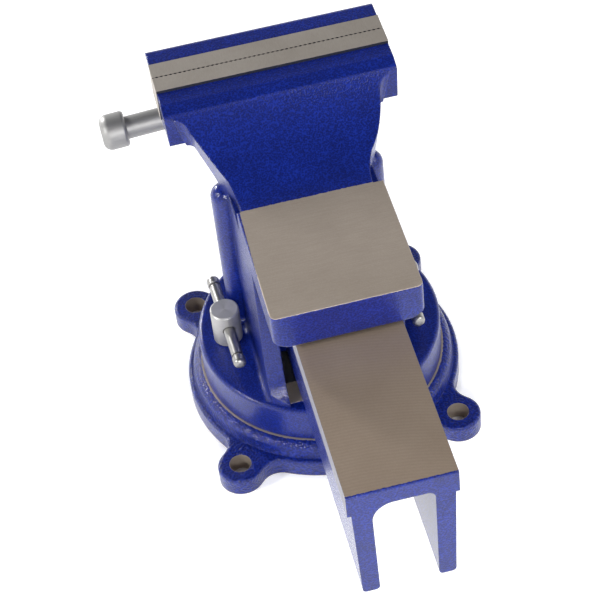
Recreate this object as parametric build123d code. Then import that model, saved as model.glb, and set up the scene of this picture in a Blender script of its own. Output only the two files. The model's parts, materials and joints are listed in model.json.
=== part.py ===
from build123d import *
import os
from math import cos, pi, radians, sin, sqrt

# Bench vise, 6 inch class. Millimetres, +Z up, origin on the swivel axis in the plane of the bench top.
# The operator stands on the -Y side: the sliding jaw and the handle are at -Y, the anvil and the
# tail of the beam at +Y.

# ---------------------------------------------------------------- driving sizes
# jaws and their plates
jaw_width = 150.0
jaw_gap = 0.3                 # left between the tooth tips when the vise is closed
jaw_plane_y = -80.7           # middle of the closed gap
plate_thickness = 13.0
plate_height = 24.0
plate_lip = 2.2               # the plates stand this much above the castings behind them
plate_play = 0.02
tooth_pitch = 3.0
tooth_depth = 0.6
plate_screw_span = 90.0
plate_screw_r = 4.0
plate_screw_length = 22.0
plate_screw_sink = 0.6        # of the screw heads below the tooth roots
bolt_clearance = 0.4          # of holes round bolts, plate screws and the main screw's washers

# swivel base
base_height = 24.1
foot_height = 13.3
foot_step = 3.2               # from there out to the foot's edge
flare_step_out = 1.3          # from there out to where the flare meets the foot
flare_swell = 1.1             # outward swell of the surface between seam and shoulder
flare_hollow = 0.3            # and how far it is hollow between shoulder and foot
shoulder_step = 5.9           # from the seam out to where the flare turns down
shoulder_z = 19.8
seam_step = 0.6               # of the base beyond the disc's rim at the seam
ledge_margin = 4.0            # between the lock bolts and the hole that the body's spigot turns in
ledge_width = 9.5             # from that hole out to the disc's rim
ledge_thickness = 10.0
bench_hole_reach = 12.52      # of the bench bolt holes outside the foot's edge
bench_hole_r = 7.0
ear_r = 14.8
ear_blend_r = 13.0
foot_edge_r = 2.2

# swivel disc of the body
swivel_gap = 0.3
disc_height = 26.9
disc_edge_r = 3.0
disc_floor = 12.0
spigot_wall = 10.0            # of the spigot's hollow cylinder
spigot_length = 9.0
spigot_gap = 0.5

# beam, an inverted channel in one casting with the sliding jaw
beam_height = 90.8
beam_flange_height = 17.0
beam_flange_step = 2.3
beam_leg_draft = 2.2
beam_inner_draft = 0.8
beam_leg_thickness = 11.8
nut_side_gap = 2.7            # between the nut and each leg of the beam, at the top
beam_web = 12.7
beam_arch_left_r = 13.0       # the core's corners under the web, on the +X side
beam_arch_right_r = 5.0       # and on the -X side
beam_edge_r = 2.6
beam_end_r = 1.2              # round the top of the beam's end
beam_tail_y = 230.2
rail_height = 12.8
beam_clearance = 0.3
roof_clearance = 0.8

# fixed body
wall_thickness = 11.1
wall_gap = 2.2                # beside the beam's flange, behind the guides
wall_front_y = -64.0
wall_rear_y = 55.0
wall_foot_reach = 16.5        # of the hollow curve at each wall's rear foot, towards +Y
wall_foot_rise = 30.8         # and up the wall
wall_foot_mid = (4.18, 12.1)  # a point on that curve, behind the wall and above the disc
wall_root_r = 4.0             # hollow fillets where walls and columns stand on the disc
anvil_front_y = 22.5
anvil_depth = 92.7
anvil_thickness = 29.7
anvil_corner_r = 4.0
anvil_edge_r = 0.8
anvil_under_r = 3.0           # along the lower edges of the anvil's sides and rear
anvil_side_height = 21.3
anvil_belly = 2.0             # the overhang's underside is this much above the tunnel's roof
jaw_rise = 30.3               # of the jaw's top above the anvil
wing_depth = 21.7
wing_height = 25.6
wing_inset = 0.2              # the wings end this much inside the plates' ends, at the top
wing_draft = 1.2              # and this much further in at their undersides
wing_corner_r = 8.0           # between each wing's rear face and the neck
wing_front_drop = 7.0
crease_drop = 3.6             # of the shoulder's rear edge below the casting's top
shoulder_round = 1.6          # rounding of that edge
shoulder_fall = 0.5           # of the shoulder's crown, a third of its depth from the edge
neck_wide = 62.5              # half widths of the neck at casting_top: at the jaw,
neck_mid = 56.9               # where it turns in,
neck_low = 49.4               # at its waist
neck_narrow = 45.8            # and at the anvil
neck_mid_skew = 1.3           # the -X side is this much wider there and the +X side as much narrower
neck_narrow_skew = 2.0        # the +X side is this much wider there and the -X side as much narrower
neck_mid_set = 40.5           # where those half widths are, in front of the anvil
neck_low_set = 23.5
neck_draft = 9.0
neck_root = 12.0              # the neck runs this far down beside the tunnel's roof
flare_bow = 2.8               # outward bow of the neck's front outline between wall and wing
flare_step = 3.0              # the flare meets the wings this far inside the neck's width
neck_overlap = 10.0           # the neck runs this far into the anvil's front
throat_setback = 1.2          # castings stay this far behind the tooth tips below the plates
column_r = 8.7
column_set = 1.2              # of a column's axis outside the wall
column_y = -22.0
column_top_drop = 26.0        # of the dome's centre below the anvil's top
guide_length = 58.0
strip_rise = 2.0              # of the guide strips' undersides above that of the beam's flange
floor_opening_y = (10.0, 49.0)
floor_pad_length = 17.0
floor_pad_rise = 0.6

# sliding jaw casting
head_depth = 17.0
head_bulge = 0.9
head_edge_r = 5.0             # along the top of the head's front
head_batter = 2.0             # the head's front leans out this much down to the wings' undersides
head_corner = 2.0             # the ends of its front stand back this much
wing_slope = 3.0              # fall of the wings' undersides from their ends to the neck
nose_margin = 3.0             # of the nose above and below the boss
nose_corner_r = 12.0
chin_setback = 6.0            # of the foot of the nose in front of the head
throat_bow = 8.0              # outward bow of the head between the beam and its wings
throat_step = 8.0             # the wings' undersides start this far inside the fixed neck's width
head_lip = 1.2                # the sliding plate stands this much above its casting
nose_length = 23.6            # from the jaw's front to the front of the cast block below it
boss_length = 12.0
boss_rim = 3.0                # of the cast boss round the thrust washer
front_wall = 14.0             # behind the plate's back face, closing the channel
slider_wing_height = 21.5

# main screw and what is on it
screw_r = 12.0
screw_drop = 49.2             # of the screw's axis below the beam's top
screw_tip_y = 165.0
screw_clearance = 0.07
screw_shoulder = 5.0          # of the head all round the screw
screw_head_length = 36.0
screw_chamfer = 2.0           # at both ends of the screw
cross_hole_set = 16.0         # of the handle's axis behind the head's front face
washer_rim = 4.0              # of the thrust washer round the screw's head
washer_thickness = 3.0
inner_washer_wall = 5.0
inner_washer_thickness = 2.5
spring_wire_r = 1.5
spring_clearance = 1.1        # between the spring and the screw
spring_length = 15.0
spring_turns = 3.5
spring_play = 0.1             # at each end of the spring
collar_wall = 5.0
collar_length = 12.0
collar_chamfer = 1.0
collar_pin_r = 2.5
seat_play = 0.02              # between pieces that are fixed to each other

# main nut
nut_front_y = -40.0
nut_length = 40.0
nut_wall = 4.0                # beside the screw
nut_foot_overhang = 6.0
nut_foot_height = 12.0
nut_bolt_r = 5.0
nut_bolt_head_r = 8.5
nut_bolt_head_height = 6.4
nut_bolt_inset = 3.0
nut_bolt_reach = 22.0
nut_washer_thickness = 2.0
nut_washer_rim = 1.5          # of those washers round the bolt heads
nut_corner_r = 4.0

# handle
handle_r = 8.0
handle_clearance = 0.4
handle_chamfer = 0.8
handle_grip = 162.0           # between the middles of the two end knobs
handle_offset = 20.0          # how far the bar is pushed towards +X at rest
handle_tilt = 3.0             # degrees, +X end down
knob_rim = 4.6                # of the knobs round the bar
knob_length = 18.0
knob_round_r = 6.0
knob_inner_r = 2.6
knob_bore_depth = 12.0

# swivel locks
lock_wall_gap = 0.9           # between a lock's head and the fillet at the wall's foot
lock_y = -3.0
lock_head_r = 9.5
lock_head_height = 26.7
lock_head_chamfer = 0.8
lock_shank_r = 6.0
lock_hole_clearance = 0.5
lock_boss_r = 11.0
lock_bar_r = 3.8
lock_bar_height = 14.7        # of the bar's axis above the disc
lock_bar_length = 80.6
lock_bar_turn = 1.5           # degrees, rear end towards the wall
lock_bar_clearance = 0.4
lock_cap_rim = 0.4            # of the caps round the bar
lock_cap_length = 7.0
lock_tip_step = 1.4           # from the bar's surface to the thin end in a cap
lock_cap_bore_depth = 4.5
lock_cap_round_r = 2.52       # of a cap's outer end
lock_cap_edge_r = 0.6         # and of its inner end
lock_groove = 1.4             # width of the groove in front of each cap
lock_groove_depth = 0.8
lug_reach = 16.0              # from the bolt outwards, under the base's ledge
lug_tail = 11.0
lug_half_width = 9.5
lug_thickness = 8.5
lug_corner_r = 3.0
lug_gap = 0.3
lock_clearance = 0.06

# ---------------------------------------------------------------- worked out from them
nut_half_width = screw_r + nut_wall
leg_inner = nut_half_width + nut_side_gap
leg_half = leg_inner + beam_leg_thickness
beam_width = 2 * (leg_half + beam_flange_step)
wall_inner = beam_width / 2 + wall_gap
wall_outer = wall_inner + wall_thickness
column_x = wall_outer + column_set
lock_x = wall_outer + wall_root_r + lock_wall_gap + lock_head_r
lock_hole_r = lock_shank_r + lock_hole_clearance
ledge_bore_r = lock_x + lock_shank_r + ledge_margin
disc_r = ledge_bore_r + ledge_width
base_hollow_r = disc_r
spigot_r = ledge_bore_r - spigot_gap
disc_hollow_r = spigot_r - spigot_wall
seam_r = disc_r + seam_step
shoulder_r = seam_r + shoulder_step
flare_r = shoulder_r + flare_step_out
foot_r = flare_r + foot_step
bench_hole_offset = (foot_r + bench_hole_reach) / sqrt(2)
screw_head_r = screw_r + screw_shoulder
washer_r = screw_head_r + washer_rim
boss_r = washer_r + boss_rim
inner_washer_r = screw_r + inner_washer_wall
collar_r = screw_r + collar_wall
spring_mean_r = screw_r + spring_clearance + spring_wire_r
knob_r = handle_r + knob_rim
lock_cap_r = lock_bar_r + lock_cap_rim
lock_cap_bore_r = lock_bar_r - lock_tip_step
neck_mid_y = anvil_front_y - neck_mid_set
neck_low_y = anvil_front_y - neck_low_set
disc_bottom = base_height + swivel_gap
disc_top = disc_bottom + disc_height
beam_bottom = disc_top + rail_height + beam_clearance
beam_top = beam_bottom + beam_height
tunnel_top = beam_top + roof_clearance
anvil_top = tunnel_top + anvil_thickness
anvil_rear_y = anvil_front_y + anvil_depth
jaw_top = anvil_top + jaw_rise
casting_top = jaw_top - plate_lip
head_top = jaw_top - head_lip
plate_bottom = jaw_top - plate_height
plate_middle = jaw_top - plate_height / 2
fixed_face_y = jaw_plane_y + jaw_gap / 2
fixed_seat_y = fixed_face_y + plate_thickness
sliding_face_y = jaw_plane_y - jaw_gap / 2
sliding_seat_y = sliding_face_y - plate_thickness
crease_y = fixed_seat_y + wing_depth
wing_half = jaw_width / 2 - wing_inset
screw_z = beam_top - screw_drop
head_front_y = sliding_seat_y - head_depth
nose_y = head_front_y - nose_length
boss_y = nose_y - boss_length
channel_start_y = sliding_seat_y + front_wall
shoulder_y = boss_y - washer_thickness
handle_y = shoulder_y - screw_head_length + cross_hole_set
spring_y = channel_start_y + inner_washer_thickness
collar_y = spring_y + spring_length
floor_bottom = disc_top - disc_floor
lock_bar_z = disc_top + lock_bar_height
ledge_bottom = base_height - ledge_thickness
lug_top = ledge_bottom - lug_gap
big = 400.0


# ---------------------------------------------------------------- helpers
def block(x0, x1, y0, y1, z0, z1):
    """A box between two corners."""
    return Pos((x0 + x1) / 2, (y0 + y1) / 2, (z0 + z1) / 2) * Box(x1 - x0, y1 - y0, z1 - z0)


def rod_z(r, x, y, z0, z1):
    """An upright cylinder."""
    return Pos(x, y, (z0 + z1) / 2) * Cylinder(r, z1 - z0)


def rod_y(r, x, z, y0, y1):
    """A cylinder along Y."""
    return Pos(x, (y0 + y1) / 2, z) * Rot(90, 0, 0) * Cylinder(r, y1 - y0)


def across(outline, half):
    """A side outline, drawn as (y, z), made 2 x half wide about the middle plane."""
    return extrude(Plane.YZ * outline, amount=half, both=True)


def along(outline, y0, y1):
    """A front outline, drawn as (x, z), carried from y0 to y1."""
    return Pos(0, y1, 0) * extrude(Plane.XZ * outline, amount=y1 - y0)


def mirrored(outline):
    """Both halves of an outline that is drawn for +X."""
    return outline + mirror(outline, Plane.YZ)


def face_of(*lines):
    """A filled outline from lines that follow each other."""
    return make_face(Wire(lines))


def inset(r):
    """How far the middle of a quarter round of radius r is inside its corner, along each axis."""
    return r * (1 - sqrt(0.5))


def one(shape):
    """The single solid of a finished piece."""
    return shape.solids()[0] if len(shape.solids()) == 1 else shape


# ---------------------------------------------------------------- swivel base
def foot_plan():
    """Round foot with four ears on the diagonals, blended in with hollow curves."""
    reach = bench_hole_offset * sqrt(2)
    plan = Circle(foot_r)
    for quarter in range(4):
        ear = Pos(reach / 2, 0) * Rectangle(reach, 2 * ear_r) + Pos(reach, 0) * Circle(ear_r)
        plan += Rot(0, 0, 45 + 90 * quarter) * ear
    notches = [v for v in plan.vertices() if abs(Vector(v.X, v.Y).length - foot_r) < 0.01]
    return fillet(notches, ear_blend_r)


def swivel_base():
    sunk = 0.5                # the flare is carried this far into the foot, and its skirt further
    skirt = 4.0
    foot = extrude(foot_plan(), amount=foot_height)
    foot = fillet(foot.faces().sort_by(Axis.Z)[-1].edges(), foot_edge_r)
    flare = Plane.XZ * face_of(
        Line((ledge_bore_r, ledge_bottom), (ledge_bore_r, base_height)),
        Line((ledge_bore_r, base_height), (seam_r, base_height)),
        ThreePointArc((seam_r, base_height),
                      ((seam_r + shoulder_r + flare_swell * sqrt(2)) / 2,
                       (base_height + shoulder_z + flare_swell * sqrt(2)) / 2),
                      (shoulder_r, shoulder_z)),
        ThreePointArc((shoulder_r, shoulder_z),
                      ((shoulder_r + flare_r) / 2 - flare_hollow, (shoulder_z + foot_height) / 2),
                      (flare_r, foot_height - sunk)),
        Line((flare_r, foot_height - sunk), (flare_r, ledge_bottom - skirt)),
        Line((flare_r, ledge_bottom - skirt), (base_hollow_r, ledge_bottom - skirt)),
        Line((base_hollow_r, ledge_bottom - skirt), (base_hollow_r, ledge_bottom)),
        Line((base_hollow_r, ledge_bottom), (ledge_bore_r, ledge_bottom)))
    hollow = rod_z(base_hollow_r, 0, 0, -1, ledge_bottom)
    base = foot - hollow - rod_z(ledge_bore_r, 0, 0, -1, big) + revolve(flare, Axis.Z)
    for sx in (-1, 1):
        for sy in (-1, 1):
            base -= rod_z(bench_hole_r, sx * bench_hole_offset, sy * bench_hole_offset, -1, foot_height + 1)
    return base


# ---------------------------------------------------------------- fixed body
def swivel_disc():
    """Round foot of the body: a floor, a rim and a spigot that turns in the base."""
    disc = rod_z(disc_r, 0, 0, disc_bottom, disc_top)
    disc = fillet(disc.edges().sort_by(Axis.Z)[-1], disc_edge_r)
    disc += rod_z(spigot_r, 0, 0, disc_bottom - spigot_length, disc_top - disc_floor)
    disc -= rod_z(disc_hollow_r, 0, 0, 0, floor_bottom)
    bosses = Part()
    for side in (-1, 1):
        bosses += rod_z(lock_boss_r, side * lock_x, lock_y, disc_bottom - spigot_length, floor_bottom + 1)
    return disc + (bosses & rod_z(spigot_r, 0, 0, 0, big))


def wall_side():
    """Side outline of a wall under the anvil, with the hollow curve at its rear foot."""
    foot_y = wall_rear_y + wall_foot_reach
    top = tunnel_top + anvil_thickness / 2
    low = disc_top - 2
    return face_of(
        Line((wall_front_y, low), (wall_front_y, top)),
        Line((wall_front_y, top), (wall_rear_y, top)),
        Line((wall_rear_y, top), (wall_rear_y, disc_top + wall_foot_rise)),
        ThreePointArc((wall_rear_y, disc_top + wall_foot_rise),
                      (wall_rear_y + wall_foot_mid[0], disc_top + wall_foot_mid[1]),
                      (foot_y, disc_top)),
        Line((foot_y, disc_top), (foot_y, low)),
        Line((foot_y, low), (wall_front_y, low)))


def walls():
    """Both walls as one slab, later opened by the tunnel, with the fillets along its outer feet."""
    slab = across(wall_side(), wall_outer)
    roots = along(mirrored(root_fillet(wall_outer)), wall_front_y, wall_rear_y + wall_foot_reach)
    return (slab + roots) & rod_z(disc_r - disc_edge_r, 0, 0, 0, big)


def anvil():
    """Square anvil, machined on top, with a belly that rises to its side edges."""
    half = wall_outer
    low = tunnel_top + anvil_belly
    side_low = anvil_top - anvil_side_height
    section = Plane.XZ * make_face(Polyline(
        (-half, anvil_top), (-half, side_low), (-wall_inner, low), (wall_inner, low),
        (half, side_low), (half, anvil_top), close=True))
    solid = Pos(0, anvil_rear_y, 0) * extrude(section, amount=anvil_depth)
    rear = solid.edges().filter_by(Axis.Z).group_by(Axis.Y)[-1]
    solid = fillet(rear, anvil_corner_r)
    solid = fillet(solid.faces().sort_by(Axis.Y)[-1].edges().group_by(Axis.Z)[0], anvil_under_r)
    return fillet(solid.faces().sort_by(Axis.Z)[-1].edges(), anvil_edge_r)


def sweep_arc():
    """Hollow curve of the neck's top, level where it reaches the anvil."""
    run = anvil_front_y - crease_y
    rise = casting_top - crease_drop - anvil_top
    r = (run * run + rise * rise) / (2 * rise)
    half_turn = rise / run
    mid = (anvil_front_y - r * sin(half_turn), anvil_top + r * (1 - cos(half_turn)))
    return ThreePointArc((crease_y, anvil_top + rise), mid, (anvil_front_y, anvil_top))


def neck():
    """Neck between jaw and anvil: a hollow top, sides that close in, and a flare under the wings."""
    top = casting_top
    low = tunnel_top - neck_root
    front = fixed_face_y + throat_setback
    rear = anvil_front_y + neck_overlap
    wing_low = casting_top - wing_height
    crease_z = casting_top - crease_drop
    side = face_of(
        Line((wall_front_y, low), (front, wing_low - wing_front_drop)),
        Line((front, wing_low - wing_front_drop), (front, plate_bottom - plate_play)),
        Line((front, plate_bottom - plate_play), (fixed_seat_y, plate_bottom - plate_play)),
        Line((fixed_seat_y, plate_bottom - plate_play), (fixed_seat_y, crease_z)),
        Line((fixed_seat_y, crease_z), (crease_y, crease_z)),
        sweep_arc(),
        Line((anvil_front_y, anvil_top), (rear, anvil_top)),
        Line((rear, anvil_top), (rear, low)),
        Line((rear, low), (wall_front_y, low)))
    plan = half_neck_plan(front, rear, 1) + mirror(half_neck_plan(front, rear, -1), Plane.YZ)
    tapered = extrude(Pos(0, 0, top) * plan, amount=-(top - low), taper=neck_draft)
    flare = mirrored(face_of(
        Line((0, low), (wall_outer, low)),
        ThreePointArc((wall_outer, low), (wall_outer + flare_bow, (low + wing_low) / 2 + flare_bow),
                      (neck_wide - flare_step, wing_low)),
        Line((neck_wide - flare_step, wing_low), (wing_half, wing_low)),
        Line((wing_half, wing_low), (wing_half, top)),
        Line((wing_half, top), (0, top)),
        Line((0, top), (0, low))))
    return across(side, big / 2) & tapered & along(flare, front - 1, rear + 1)


def half_neck_plan(front, rear, side):
    """Half of the neck's outline from above, drawn at +X: side is 1 for the +X half, -1 for the other."""
    corner = wing_corner_r
    mid = neck_mid - side * neck_mid_skew
    narrow = neck_narrow + side * neck_narrow_skew
    start = crease_y + 1
    return face_of(
        Line((0, front), (neck_wide + corner, front)),
        Line((neck_wide + corner, front), (neck_wide + corner, start)),
        ThreePointArc((neck_wide + corner, start), (neck_wide + inset(corner), start + inset(corner)),
                      (neck_wide, start + corner)),
        ThreePointArc((neck_wide, start + corner), (mid, neck_mid_y), (neck_low, neck_low_y)),
        ThreePointArc((neck_low, neck_low_y),
                      (narrow + (neck_low - narrow) / 4, (neck_low_y + anvil_front_y) / 2),
                      (narrow, anvil_front_y)),
        Line((narrow, anvil_front_y), (narrow, rear)),
        Line((narrow, rear), (0, rear)),
        Line((0, rear), (0, front)))


def jaw_block():
    """Wide block behind the fixed plate, with a ledge under the plate."""
    front = fixed_face_y + throat_setback
    low = casting_top - wing_height
    ledge = plate_bottom - plate_play
    crease_z = casting_top - crease_drop
    side = face_of(
        Line((front, low - wing_front_drop), (front, ledge)),
        Line((front, ledge), (fixed_seat_y, ledge)),
        Line((fixed_seat_y, ledge), (fixed_seat_y, casting_top)),
        ThreePointArc((fixed_seat_y, casting_top), (crease_y - wing_depth / 3, casting_top - shoulder_fall),
                      (crease_y - shoulder_round, crease_z + shoulder_round)),
        Line((crease_y - shoulder_round, crease_z + shoulder_round), (crease_y, crease_z)),
        Line((crease_y, crease_z), (crease_y, low)),
        Line((crease_y, low), (front, low - wing_front_drop)))
    return across(side, big / 2) & along(wing_ends(low - wing_front_drop, casting_top), front - 1, crease_y + 1)


def wing_ends(low, top):
    """Front outline of a jaw's wings, whose ends close in towards their undersides."""
    return make_face(Polyline((-wing_half, top), (wing_half, top), (wing_half - wing_draft, low),
                              (-wing_half + wing_draft, low), close=True))


def columns():
    """Half-round columns up the outside of the walls, domed on top and spread at the foot."""
    both = Part()
    top = anvil_top - column_top_drop
    for side in (-1, 1):
        both += rod_z(column_r, side * column_x, column_y, disc_top - 2, top)
        both += Pos(side * column_x, column_y, top) * Sphere(column_r)
        both += Pos(side * column_x, column_y, 0) * revolve(Plane.XZ * root_fillet(column_r), Axis.Z)
    return both


def root_fillet(start):
    """Section of the hollow fillet at the foot of something that stands on the disc at this distance."""
    r = wall_root_r
    return face_of(
        Line((start - 1, disc_top - 1), (start - 1, disc_top + r)),
        Line((start - 1, disc_top + r), (start, disc_top + r)),
        ThreePointArc((start, disc_top + r), (start + inset(r), disc_top + inset(r)), (start + r, disc_top)),
        Line((start + r, disc_top), (start + r, disc_top - 1)),
        Line((start + r, disc_top - 1), (start - 1, disc_top - 1)))


def guides():
    """Rails under the beam's legs and strips beside its flange, in the front of the tunnel."""
    both = Part()
    end = wall_front_y + guide_length
    rail_top = beam_bottom - beam_clearance
    strip_low = beam_top - beam_flange_height + strip_rise
    slot = beam_width / 2 + beam_clearance
    for side in (-1, 1):
        rail = (side * (leg_inner - 1), side * (wall_inner + 1))
        strip = (side * slot, side * (wall_inner + 1))
        both += block(min(rail), max(rail), wall_front_y, end, disc_top - 1, rail_top)
        both += block(min(strip), max(strip), wall_front_y, end, strip_low, tunnel_top + 1)
    return both


def fixed_jaw_body():
    body = walls() + jaw_block() + neck() + columns() + anvil()
    tunnel = block(-wall_inner, wall_inner, -big, wall_rear_y + wall_foot_reach + 1, disc_top, tunnel_top)
    body = body - tunnel + swivel_disc() + guides()
    floor_slot = wall_inner - 1
    body -= block(-floor_slot, floor_slot, *floor_opening_y, 0, disc_top + 1)
    pad_y = floor_opening_y[1]
    body += block(-wall_inner, wall_inner, pad_y, pad_y + floor_pad_length, disc_top - 1, disc_top + floor_pad_rise)
    for side in (-1, 1):
        body -= rod_z(lock_hole_r, side * lock_x, lock_y, 0, disc_top + 1)
    for y in nut_bolt_ys():
        body -= rod_z(nut_bolt_r + bolt_clearance, 0, y, 0, disc_top + 1)
    for x in (-plate_screw_span / 2, plate_screw_span / 2):
        depth = fixed_face_y + plate_screw_length + 1
        body -= rod_y(plate_screw_r + seat_play, x, plate_middle, fixed_seat_y - 1, depth)
    return body


# ---------------------------------------------------------------- sliding jaw
def beam_section():
    """Inverted channel, drawn as (x, z): a machined flange on top and two drafted legs."""
    flange_low = beam_top - beam_flange_height
    outer = Polyline(
        (-beam_width / 2, beam_top), (-beam_width / 2, flange_low), (-leg_half, flange_low),
        (-leg_half + beam_leg_draft, beam_bottom), (leg_half - beam_leg_draft, beam_bottom),
        (leg_half, flange_low), (beam_width / 2, flange_low), (beam_width / 2, beam_top), close=True)
    section = make_face(outer) - channel_space()
    return fillet(section.vertices().group_by(Axis.Y)[0], beam_edge_r)


def channel_space():
    """Hollow of the beam, drawn as (x, z), a little past the ends of its legs."""
    arch_top = beam_top - beam_web
    foot = leg_inner - beam_inner_draft
    low = beam_bottom - 1
    space = make_face(Polyline((-foot, low), (foot, low), (leg_inner, arch_top), (-leg_inner, arch_top),
                               close=True))
    corners = space.vertices().group_by(Axis.Y)[-1].sort_by(Axis.X)
    space = fillet(corners[-1], beam_arch_left_r)
    corners = space.vertices().group_by(Axis.Y)[-1].sort_by(Axis.X)
    return fillet(corners[0], beam_arch_right_r)


def slider_head():
    """Jaw head: wide at the plate, closing in to the beam's width, with a nose round the screw."""
    rear = sliding_face_y - throat_setback
    low = beam_bottom
    flange_low = beam_top - beam_flange_height
    wing_low = casting_top - slider_wing_height - wing_slope
    ledge = plate_bottom - plate_play
    r = head_edge_r
    nose_top = screw_z + boss_r + nose_margin
    nose_low = screw_z - boss_r - nose_margin
    side = face_of(
        Line((rear, low), (rear, ledge)),
        Line((rear, ledge), (sliding_seat_y, ledge)),
        Line((sliding_seat_y, ledge), (sliding_seat_y, head_top)),
        Line((sliding_seat_y, head_top), (head_front_y + r, head_top)),
        ThreePointArc((head_front_y + r, head_top), (head_front_y + inset(r), head_top - inset(r)),
                      (head_front_y, head_top - r)),
        Line((head_front_y, head_top - r), (head_front_y - head_batter, wing_low)),
        ThreePointArc((head_front_y - head_batter, wing_low), ((head_front_y + nose_y) / 2, beam_top),
                      (nose_y, nose_top)),
        Line((nose_y, nose_top), (nose_y, nose_low)),
        Line((nose_y, nose_low), (head_front_y - chin_setback, low)),
        Line((head_front_y - chin_setback, low), (rear, low)))
    throat = neck_wide - throat_step
    front = mirrored(face_of(
        Line((0, low), (leg_half - beam_leg_draft, low)),
        Line((leg_half - beam_leg_draft, low), (leg_half, flange_low)),
        Line((leg_half, flange_low), (leg_half, beam_top)),
        ThreePointArc((leg_half, beam_top), (leg_half + throat_bow, (beam_top + wing_low + throat_bow) / 2),
                      (throat, wing_low)),
        Line((throat, wing_low), (wing_half - wing_draft, wing_low + wing_slope)),
        Line((wing_half - wing_draft, wing_low + wing_slope), (wing_half, head_top)),
        Line((wing_half, head_top), (0, head_top)),
        Line((0, head_top), (0, low))))
    corner = nose_corner_r
    bulge = head_front_y - head_bulge
    plan = mirrored(face_of(
        Line((0, rear + 1), (wing_half, rear + 1)),
        Line((wing_half, rear + 1), (wing_half, head_front_y + head_corner)),
        ThreePointArc((wing_half, head_front_y + head_corner), (wing_half / 2, head_front_y - head_bulge / 2),
                      (leg_half, bulge)),
        Line((leg_half, bulge), (leg_half, nose_y + corner)),
        ThreePointArc((leg_half, nose_y + corner), (leg_half - inset(corner), nose_y + inset(corner)),
                      (leg_half - corner, nose_y)),
        Line((leg_half - corner, nose_y), (0, nose_y)),
        Line((0, nose_y), (0, rear + 1))))
    return across(side, big / 2) & along(front, nose_y - 1, rear + 1) & extrude(plan, amount=big)


def beam():
    """The beam alone, its top edge rounded at the tail."""
    bar = along(beam_section(), sliding_face_y - throat_setback - head_depth / 2, beam_tail_y)
    tail = bar.faces().sort_by(Axis.Y)[-1]
    return fillet(tail.edges().sort_by(Axis.Z)[-1], beam_end_r)


def sliding_jaw():
    rear = sliding_face_y - throat_setback
    jaw = slider_head() + beam()
    jaw += rod_y(boss_r, 0, screw_z, boss_y, nose_y + 5)
    jaw -= along(channel_space(), channel_start_y, rear)
    jaw -= rod_y(screw_r + screw_clearance, 0, screw_z, boss_y - 1, channel_start_y + 1)
    for x in (-plate_screw_span / 2, plate_screw_span / 2):
        depth = sliding_face_y - plate_screw_length - 1
        jaw -= rod_y(plate_screw_r + seat_play, x, plate_middle, depth, sliding_seat_y + 1)
    return jaw


# ---------------------------------------------------------------- jaw plates and their screws
def jaw_plate():
    """Plate with its toothed face at y = 0 and its back at y = plate_thickness, top at z = 0."""
    count = int(round(jaw_width / tooth_pitch))
    pitch = jaw_width / count
    points = [(-jaw_width / 2, plate_thickness)]
    for i in range(count):
        x = -jaw_width / 2 + i * pitch
        points += [(x, tooth_depth), (x + pitch / 2, 0)]
    points += [(jaw_width / 2, tooth_depth), (jaw_width / 2, plate_thickness)]
    plate = extrude(make_face(Polyline(*points, close=True)), amount=-plate_height)
    for x in (-plate_screw_span / 2, plate_screw_span / 2):
        plate -= rod_y(plate_screw_r + bolt_clearance, x, -plate_height / 2, -1, plate_thickness + 1)
        plate -= Pos(x, 0, -plate_height / 2) * countersink(seat_play)
    return plate


def countersink(play):
    """Space for a flat screw head, opening towards -Y from the tooth roots."""
    head_r = 2 * plate_screw_r
    depth = head_r - plate_screw_r
    root = tooth_depth + plate_screw_sink
    cone = Pos(0, root + depth / 2, 0) * Rot(-90, 0, 0) * Cone(head_r + play, plate_screw_r + play, depth)
    return cone + rod_y(head_r + play, 0, 0, -1, root)


def plate_screw():
    """Flat-head screw, head at y = 0, pointing to +Y, with a hexagon socket."""
    head_r = 2 * plate_screw_r
    depth = head_r - plate_screw_r
    root = tooth_depth + plate_screw_sink
    screw = Pos(0, root + depth / 2, 0) * Rot(-90, 0, 0) * Cone(head_r, plate_screw_r, depth)
    screw += rod_y(plate_screw_r, 0, 0, root + depth, plate_screw_length)
    socket = Plane.XZ * RegularPolygon(plate_screw_r * 0.65, 6)
    return screw - Pos(0, root + depth * 0.8, 0) * extrude(socket, amount=depth)


# ---------------------------------------------------------------- screw, nut and what holds them
def main_screw():
    head_front = shoulder_y - screw_head_length
    head = rod_y(screw_head_r, 0, screw_z, head_front, shoulder_y)
    head = chamfer(head.edges().filter_by(GeomType.CIRCLE), screw_chamfer)
    screw = head + rod_y(screw_r, 0, screw_z, shoulder_y, screw_tip_y)
    screw = chamfer(screw.edges().filter_by(GeomType.CIRCLE).sort_by(Axis.Y)[-1], screw_chamfer)
    hole = Rot(0, 90, 0) * Cylinder(handle_r + handle_clearance, 4 * screw_head_r)
    screw -= Pos(0, handle_y, screw_z) * Rot(0, handle_tilt, 0) * hole
    return screw - collar_pin(seat_play)


def collar_pin(play=0.0):
    return rod_z(collar_pin_r + play, 0, collar_y + collar_length / 2,
                 screw_z - collar_r + 1, screw_z + collar_r - 1)


def retaining_collar():
    collar = rod_y(collar_r, 0, screw_z, collar_y, collar_y + collar_length)
    collar = chamfer(collar.edges().filter_by(GeomType.CIRCLE), collar_chamfer)
    collar -= rod_y(screw_r + seat_play, 0, screw_z, collar_y - 1, collar_y + collar_length + 1)
    return collar - rod_z(collar_pin_r + seat_play, 0, collar_y + collar_length / 2, 0, big)


def washer(outer, thickness, y):
    """Washer on the main screw, its low-Y face at y."""
    ring = rod_y(outer, 0, screw_z, y, y + thickness)
    return ring - rod_y(screw_r + bolt_clearance, 0, screw_z, y - 1, y + thickness + 1)


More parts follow.
